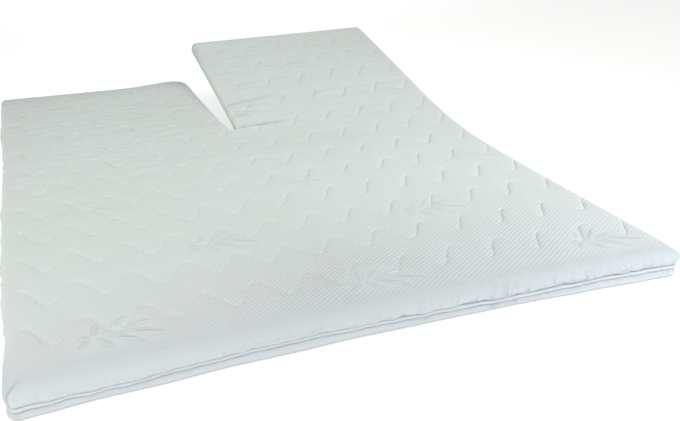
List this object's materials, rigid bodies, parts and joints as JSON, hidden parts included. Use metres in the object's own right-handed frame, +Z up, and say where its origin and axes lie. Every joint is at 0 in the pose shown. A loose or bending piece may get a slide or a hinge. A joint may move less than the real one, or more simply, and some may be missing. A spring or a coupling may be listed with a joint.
{
  "type": "mattress topper",
  "caption": "White quilted mattress topper with a slit from its head end, the half beside it bent up off the bed, and a zip strip round its side.",
  "frame": {"origin": "middle of the footprint, on the surface that the topper lies on", "axes": "+X across the width, towards the half whose head end is bent up, +Y along the length to the head end, +Z up"},
  "size_m": [1.6598, 2.0214, 0.2563],
  "materials": {
    "quilted_jersey": "soft white knitted jersey, quilted in wavy lines, with woven-in leaf sprigs",
    "strip_cloth": "plain white cloth over the zip"
  },
  "bodies": {
    "root": {"quilted_pad": "quilted_jersey", "zip_strip": "strip_cloth"}
  },
  "joints": []
}
